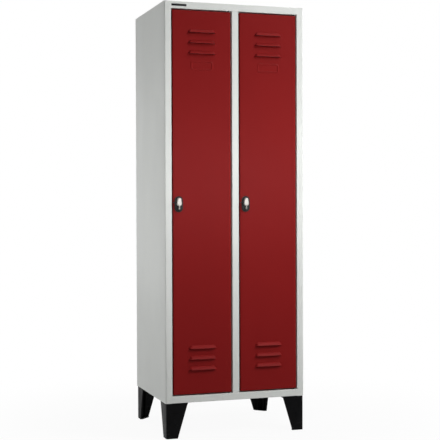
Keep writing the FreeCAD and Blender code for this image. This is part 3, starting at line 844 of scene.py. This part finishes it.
@dataclass
class Carcass:
    """Folded grey sheet, with a blank plate on the top rail and weld marks on the back.

    Attributes:
        plate_size: The plate's width, thickness and height.
        plate_inset: From the locker's left edge to the plate.
        plate_drop: From the top to the plate's upper edge.
        plate_corner: Rounding of the plate.
        welds: The weld marks.
        weld_inset: From the edge of the partition's flange to the marks.
        SHEETS: The nodes that are painted grey.
    """

    plate_size: Point = (0.066, 0.0008, 0.009)
    plate_inset: float = 0.032
    plate_drop: float = 0.011
    plate_corner: float = 0.0003
    welds: SpotWelds = SpotWelds(0.003, 0.00025, 0.12)
    weld_inset: float = 0.0075

    SHEETS = (
        "side_panel_left",
        "side_panel_right",
        "door_stop_left",
        "door_stop_right",
        "roof_panel",
        "bottom_rail",
        "floor_panel",
        "back_panel",
        "centre_partition",
        "centre_stile",
        "hat_shelf_left",
        "hat_shelf_right",
    )

    def dress(self, rack: FinishRack) -> None:
        """Paint the sheets."""
        for node in self.SHEETS:
            rack.dress(node, Slot.GREY_COAT)

    def build(self, rack: FinishRack) -> None:
        """Make the blank plate on the top rail and the weld marks on the back panel."""
        self._plate(rack)
        self._marks(rack)

    def _plate(self, rack: FinishRack) -> None:
        """Make the blank plate.

        Args:
            rack: Where the material comes from.
        """
        low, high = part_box("roof_panel")
        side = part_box("side_panel_left")[0]
        width, thickness, height = self.plate_size
        left = side.x + self.plate_inset
        upper = high.z - self.plate_drop
        near = Vector((left, low.y - thickness, upper - height))
        far = Vector((left + width, low.y, upper))
        plate = Workpiece()
        plate.block(near, far, self.plate_corner)
        plate.deliver("blank_plate", Slot.LATCH_BLACK, "carcass", rack)

    def _marks(self, rack: FinishRack) -> None:
        """Make the marks where the partition's flange is welded to the back panel.

        Args:
            rack: Where the material comes from.
        """
        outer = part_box("back_panel")[1].y
        low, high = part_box("centre_partition")
        marks = Workpiece()
        self.welds.row(marks, low.x + self.weld_inset, outer, low.z, high.z)
        marks.deliver("back_weld_marks", Slot.GREY_COAT, "carcass", rack)


@dataclass
class Foot:
    """One moulded angle foot with two ribs inside.

    Attributes:
        corner: Which foot it is.
        wall: Thickness of its walls.
        plate: Thickness of its top plate and sole.
        rib: Thickness of a rib.
        rib_depth: How far a rib stands off its wall at the top.
        rib_place: From the outer corner to a rib.
        rounding: Rounding of the moulded edges.
    """

    corner: str
    wall: float = 0.004
    plate: float = 0.005
    rib: float = 0.003
    rib_depth: float = 0.012
    rib_place: float = 0.032
    rounding: float = 0.0009

    def build(self, rack: FinishRack) -> None:
        """Make the foot and its ribs.

        Args:
            rack: Where the material comes from.
        """
        node = "foot_" + self.corner
        low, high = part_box(node)
        moulding = RoundedCopy(node, self.rounding)
        moulding.stand_in(node + "_moulding", Slot.BLACK_MOULDING, "carcass", rack)
        on_left = "left" in self.corner
        in_front = "front" in self.corner
        toward_x = Vector((1.0 if on_left else -1.0, 0.0, 0.0))
        toward_y = Vector((0.0, 1.0 if in_front else -1.0, 0.0))
        outer = Vector((low.x if on_left else high.x, low.y if in_front else high.y, 0.0))
        ribs = Workpiece()
        for along, across in ((toward_x, toward_y), (toward_y, toward_x)):
            near = outer + along * self.rib_place + across * (self.wall - self.rounding)
            far = near + along * self.rib + across * self.rib_depth
            near.z = self.plate - self.rounding
            far.z = high.z - self.plate + self.rounding
            lowest = Vector([min(pair) for pair in zip(near, far)])
            highest = Vector([max(pair) for pair in zip(near, far)])
            ribs.block(lowest, highest, self.rounding / 2)
        ribs.deliver(node + "_ribs", Slot.BLACK_MOULDING, "carcass", rack)


@dataclass
class Door:
    """One red door with its stiffener, its weld marks and its hinge fittings.

    Attributes:
        side: Which compartment it closes.
        welds: The weld marks.
        weld_inset: From the stiffener's edge to the marks.
        skin_depth: From the stiffener's front to the faces that the marks are on.
    """

    side: Side
    welds: SpotWelds = SpotWelds(0.0028, 0.00025, 0.1)
    weld_inset: float = 0.006
    skin_depth: float = 0.0008

    def dress(self, rack: FinishRack) -> None:
        """Paint the door and dress its fittings.

        Args:
            rack: Where the materials come from.
        """
        name = self.side.value
        rack.dress("door_panel_" + name, Slot.RED_COAT)
        rack.dress("door_stiffener_" + name, Slot.RED_COAT)
        # Hinge bushes and pins are black partly as their own finish and partly as painted shade, so that
        # they merge with the shaded door gaps.
        rack.dress("hinge_bushes_" + name, Slot.BLACK_NYLON_AND_SHADE)
        rack.dress("hinge_pins_" + name, Slot.BLACK_STEEL_AND_SHADE)
        rack.dress("door_buffers_" + name, Slot.BUFFER_RUBBER)

    def build(self, rack: FinishRack) -> None:
        """Make the weld marks on the stiffener's flanges.

        Args:
            rack: Where the material comes from.
        """
        low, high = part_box("door_stiffener_" + self.side.value)
        marks = Workpiece()
        for x in (low.x + self.weld_inset, high.x - self.weld_inset):
            self.welds.row(marks, x, low.y + self.skin_depth, low.z, high.z)
        marks.deliver("weld_marks_" + self.side.value, Slot.RED_COAT, "door_" + self.side.value, rack)


@dataclass
class Latch:
    """One turning latch: black plate, partly painted shade around the handle, bright drop-shaped handle,
    and the tongue behind the door.

    Attributes:
        side: Which door it is on.
        plate_rounding: Rounding of the plate's edges.
        handle_rounding: Rounding of the handle's edges.
        tongue_rounding: Rounding of the tongue's edges.
    """

    side: Side
    plate_rounding: float = 0.0006
    handle_rounding: float = 0.0005
    tongue_rounding: float = 0.0004

    def build(self, rack: FinishRack) -> None:
        """Make the plate, the handle and the tongue, and dress the rest.

        Args:
            rack: Where the materials come from.
        """
        name = self.side.value
        door = "door_" + name
        latch = "latch_" + name
        # The plate's black is partly the casting's own colour and partly painted shade: it stands in for
        # the shade ring around the handle.
        plate = RoundedCopy("latch_rosette_" + name, self.plate_rounding)
        plate.stand_in("latch_plate_" + name, Slot.LATCH_BLACK, door, rack)
        handle = RoundedCopy("latch_handle_" + name, self.handle_rounding)
        handle.stand_in("latch_drop_" + name, Slot.NICKEL, latch, rack)
        tongue = RoundedCopy("latch_tongue_" + name, self.tongue_rounding)
        tongue.stand_in("latch_bolt_" + name, Slot.ZINC, latch, rack)
        rack.dress("barrel_nut_" + name, Slot.ZINC)
        rack.dress("tongue_screw_" + name, Slot.ZINC)


@dataclass
class CoatRail:
    """One coat rail with its sockets, their screws and the sliding hooks.

    Attributes:
        side: Which compartment it is in.
        hook_count: Hooks on the rail.
        hook_rounding: Rounding of a hook's edges.
        socket_rounding: Rounding of a socket's edges.
        screw_circle: From the rail's axis to a screw.
        screw_radius: Radius of a screw's head.
        screw_rise: Height of a screw's head.
        screw_corners: Corners of a screw's outline.
        flange: Thickness of a socket's flange.
    """

    side: Side
    hook_count: int = 3
    hook_rounding: float = 0.0009
    socket_rounding: float = 0.0005
    screw_circle: float = 0.0148
    screw_radius: float = 0.0018
    screw_rise: float = 0.001
    screw_corners: int = 16
    flange: float = 0.003

    def build(self, rack: FinishRack) -> None:
        """Make the sockets, screws and hooks, and dress the tube.

        Args:
            rack: Where the materials come from.
        """
        name = self.side.value
        rack.dress("coat_rail_" + name, Slot.ZINC)
        sockets = "rail_sockets_" + name
        low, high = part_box(sockets)
        middle = (low + high) / 2
        cups = RoundedCopy(sockets, self.socket_rounding)
        cups.stand_in("rail_cups_" + name, Slot.BLACK_MOULDING, "carcass", rack)
        left_end = (low.x + self.flange, Vector((1.0, 0.0, 0.0)))
        right_end = (high.x - self.flange, Vector((-1.0, 0.0, 0.0)))
        screws = Workpiece()
        for x, way in (left_end, right_end):
            for rise in (self.screw_circle, -self.screw_circle):
                foot = Vector((x, middle.y, middle.z + rise))
                screws.button(foot, way, self.screw_radius, self.screw_rise, self.screw_corners)
        screws.deliver("socket_screws_" + name, Slot.ZINC, "carcass", rack)
        for index in range(1, self.hook_count + 1):
            tail = name + "_" + str(index)
            hook = RoundedCopy("coat_hook_" + tail, self.hook_rounding)
            hook.stand_in("hook_moulding_" + tail, Slot.BLACK_MOULDING, "hook_" + tail, rack)


@dataclass(frozen=True)
class SoftBox:
    """One soft studio lamp.

    Attributes:
        name: The lamp's name.
        place: Where it stands.
        aim: The point that it faces.
        size: Its width and height.
        watts: Its power.
    """

    name: str
    place: Point
    aim: Point
    size: Span
    watts: float

    def build(self) -> None:
        """Hang the lamp."""
        data = bpy.data.lights.new(self.name, "AREA")
        data.shape = "RECTANGLE"
        data.size, data.size_y = self.size
        data.energy = self.watts
        lamp = bpy.data.objects.new(self.name, data)
        lamp.visible_camera = False
        place = Vector(self.place)
        turn = (place - Vector(self.aim)).to_track_quat("Z", "Y")
        lamp.matrix_world = Matrix.Translation(place) @ turn.to_matrix().to_4x4()
        bpy.context.scene.collection.objects.link(lamp)


@dataclass
class Studio:
    """White floor and background, a dark curtain behind the camera, and the soft light.

    Attributes:
        floor_half: Half the floor's width.
        floor_colour: The floor's own grey.
        shadow_near: Distance from the middle up to which the floor shows its shadow fully.
        shadow_far: Distance from which it is plain white.
        ambient: Strength of the world's even light.
        floor_glow: How much of the floor's white shows in its shadow too.
        curtain_place: Middle of the curtain.
        curtain_half: Half the curtain's width.
        curtain_fold_shade: Colour of the painted shade in each fold, which the flat curtain doesn't have.
        curtain_fold_lit: Colour of the painted light on each fold.
        fold_shading_scale: Painted fold shading in a metre.
        fold_shading_stretch: How much closer its lumps lie on each axis.
        LAMPS: The soft lamps.
    """

    floor_half: float = 30.0
    floor_colour: float = 0.5
    shadow_near: float = 0.5
    shadow_far: float = 1.6
    ambient: float = 0.03
    floor_glow: float = 0.94
    curtain_place: Point = (0.0, -7.0, 2.5)
    curtain_half: float = 5.0
    curtain_fold_shade: Colour = (0.02, 0.02, 0.02)
    curtain_fold_lit: Colour = (0.05, 0.05, 0.05)
    fold_shading_scale: float = 1.5
    fold_shading_stretch: Point = (4.0, 1.0, 0.2)

    LAMPS = (
        SoftBox("key", (2.6, -2.2, 3.0), (0.0, -0.24, 1.0), (0.9, 0.9), 78.0),
        SoftBox("top_key", (1.4, -1.4, 3.6), (0.0, -0.24, 0.9), (0.9, 0.7), 20.0),
        SoftBox("front_strip", (0.1, -1.05, 1.12), (0.1, -0.24, 1.12), (1.6, 0.28), 5.0),
        SoftBox("front_soft", (0.1, -1.6, 1.15), (0.1, -0.24, 1.15), (1.8, 0.3), 3.2),
        SoftBox("left_fill", (-1.6, 0.3, 1.05), (-0.3, 0.1, 1.05), (0.6, 1.0), 3.0),
        SoftBox("left_far", (-3.4, 0.2, 1.25), (-0.3, 0.0, 1.1), (1.4, 1.2), 14.0),
        SoftBox("left_low", (-1.6, 0.3, 0.5), (-0.3, 0.1, 0.5), (0.6, 0.6), 1.5),
        SoftBox("right_fill", (2.0, 0.3, 1.1), (0.3, 0.1, 1.05), (1.0, 1.4), 8.0),
        SoftBox("rear_fill", (0.0, 2.4, 1.1), (0.0, 0.26, 1.05), (1.4, 1.4), 26.0),
        SoftBox("overhead", (0.0, 0.7, 4.4), (0.0, 0.7, 0.0), (3.6, 2.8), 78.0),
    )

    def _seen(self, sheet: ShaderSheet) -> Signal:
        """Tell rays that show the background from rays that carry light.

        Args:
            sheet: The sheet of the floor or the world.

        Returns:
            1 on rays that show the background, and 0 on rays that carry light.
        """
        path = sheet.node("ShaderNodeLightPath")
        rays = ("Is Camera Ray", "Is Glossy Ray", "Is Transmission Ray")
        camera, glossy, through = [Signal(sheet, path.outputs[ray]) for ray in rays]
        return camera.larger(glossy).larger(through)

    def _spread(self, material: bpy.types.Material, half: float, matrix: Matrix) -> bpy.types.Object:
        """Set up one flat sheet of the studio, named after its material.

        Args:
            material: Its material.
            half: Half its width.
            matrix: Its place and turn.

        Returns:
            The sheet.
        """
        mesh = bmesh.new()
        bmesh.ops.create_grid(mesh, x_segments=1, y_segments=1, size=half, matrix=matrix)
        data = bpy.data.meshes.new(material.name)
        mesh.to_mesh(data)
        mesh.free()
        data.materials.append(material)
        made = bpy.data.objects.new(material.name, data)
        bpy.context.scene.collection.objects.link(made)
        return made

    def _floor(self) -> None:
        """Lay the floor, which fades from its own shaded colour to plain white."""
        material = bpy.data.materials.new("studio_floor")
        sheet = ShaderSheet(material)
        place = sheet.node("ShaderNodeVectorMath", {"operation": "LENGTH"}, {0: sheet.place()})
        distance = Signal(sheet, place.outputs["Value"])
        spread = distance.between(self.shadow_near, self.shadow_far)
        fade = (self.floor_glow + spread * (1.0 - self.floor_glow)) * self._seen(sheet)
        matt = sheet.node("ShaderNodeBsdfDiffuse", None, {"Color": (*[self.floor_colour] * 3, 1.0)})
        white = sheet.node("ShaderNodeEmission", None, {"Color": WHITE, "Strength": 1.0})
        mixed = sheet.node("ShaderNodeMixShader", None, {0: fade, 1: matt.outputs[0], 2: white.outputs[0]})
        sheet.surface(mixed.outputs[0])
        self._spread(material, self.floor_half, Matrix.Identity(4))

    def _curtain(self) -> None:
        """Hang a dark curtain behind the camera, which shows only in reflections, with painted fold shading
        on its flat sheet.
        """
        material = bpy.data.materials.new("studio_curtain")
        sheet = ShaderSheet(material)
        # Painted fold shading: noise between a painted shade and a painted light on the flat sheet.
        fold_shading = sheet.noise(self.fold_shading_scale, Detail.SOFT, self.fold_shading_stretch)
        colour = sheet.blended(fold_shading, self.curtain_fold_shade, self.curtain_fold_lit)
        sheet.surface(sheet.node("ShaderNodeBsdfDiffuse", None, {"Color": colour}).outputs[0])
        upright = Matrix.Rotation(math.radians(90.0), 4, "X")
        matrix = Matrix.Translation(Vector(self.curtain_place)) @ upright
        curtain = self._spread(material, self.curtain_half, matrix)
        curtain.visible_camera = False

    def _world(self) -> None:
        """Even light all round, and a white background."""
        world = bpy.data.worlds.new("studio_world")
        bpy.context.scene.world = world
        sheet = ShaderSheet(world)
        seen = self._seen(sheet)
        even = sheet.node("ShaderNodeBackground", None, {"Color": WHITE, "Strength": self.ambient})
        shown = sheet.node("ShaderNodeBackground", None, {"Color": WHITE, "Strength": 1.0})
        mixed = sheet.node("ShaderNodeMixShader", None, {0: seen, 1: even.outputs[0], 2: shown.outputs[0]})
        sheet.surface(mixed.outputs[0], "ShaderNodeOutputWorld")

    def build(self) -> None:
        """Set up floor, curtain, world and lamps."""
        self._floor()
        self._curtain()
        self._world()
        for lamp in self.LAMPS:
            lamp.build()
        bpy.context.scene.view_settings.view_transform = "Standard"


@dataclass
class PhotoCamera:
    """The camera at the photograph's viewing angle.

    Attributes:
        place: Where it stands.
        yaw: Turn to the right of straight ahead, degrees.
        pitch: Tilt upwards, degrees.
        roll: Turn about its own line of sight, degrees.
        focal_pixels: Focal length in pixels of the image.
        image_pixels: Width of the image in pixels.
        sensor: Sensor width in millimetres.
    """

    place: Point = (-1.532, -4.658, 1.002)
    yaw: float = 18.31
    pitch: float = -0.94
    roll: float = -0.18
    focal_pixels: float = 1086.7
    image_pixels: float = 440.0
    sensor: float = 36.0

    def build(self) -> None:
        """Set up the camera."""
        yaw, pitch, roll = (math.radians(angle) for angle in (self.yaw, self.pitch, self.roll))
        ahead = Vector((math.sin(yaw) * math.cos(pitch), math.cos(yaw) * math.cos(pitch), math.sin(pitch)))
        level = Vector((math.cos(yaw), -math.sin(yaw), 0.0))
        above = level.cross(ahead)
        right = level * math.cos(roll) + above * math.sin(roll)
        upward = above * math.cos(roll) - level * math.sin(roll)
        data = bpy.data.cameras.new("photo_camera")
        data.sensor_fit = "HORIZONTAL"
        data.sensor_width = self.sensor
        data.lens = self.focal_pixels / self.image_pixels * self.sensor
        camera = bpy.data.objects.new("photo_camera", data)
        turn = Matrix((right, upward, -ahead)).transposed().to_4x4()
        camera.matrix_world = Matrix.Translation(Vector(self.place)) @ turn
        bpy.context.scene.collection.objects.link(camera)
        bpy.context.scene.camera = camera


def main() -> None:
    """Build every class in order."""
    logging.basicConfig(level=logging.INFO, format="%(name)s: %(message)s")
    rack = FinishRack()
    PhotoCamera().build()
    Studio().build()
    carcass = Carcass()
    carcass.dress(rack)
    carcass.build(rack)
    for corner in FEET:
        Foot(corner).build(rack)
    for node in FOOT_FASTENERS:
        rack.dress(node, Slot.ZINC)
    for side in Side:
        door = Door(side)
        door.dress(rack)
        door.build(rack)
        Latch(side).build(rack)
        CoatRail(side).build(rack)


if __name__ == "__main__":
    main()
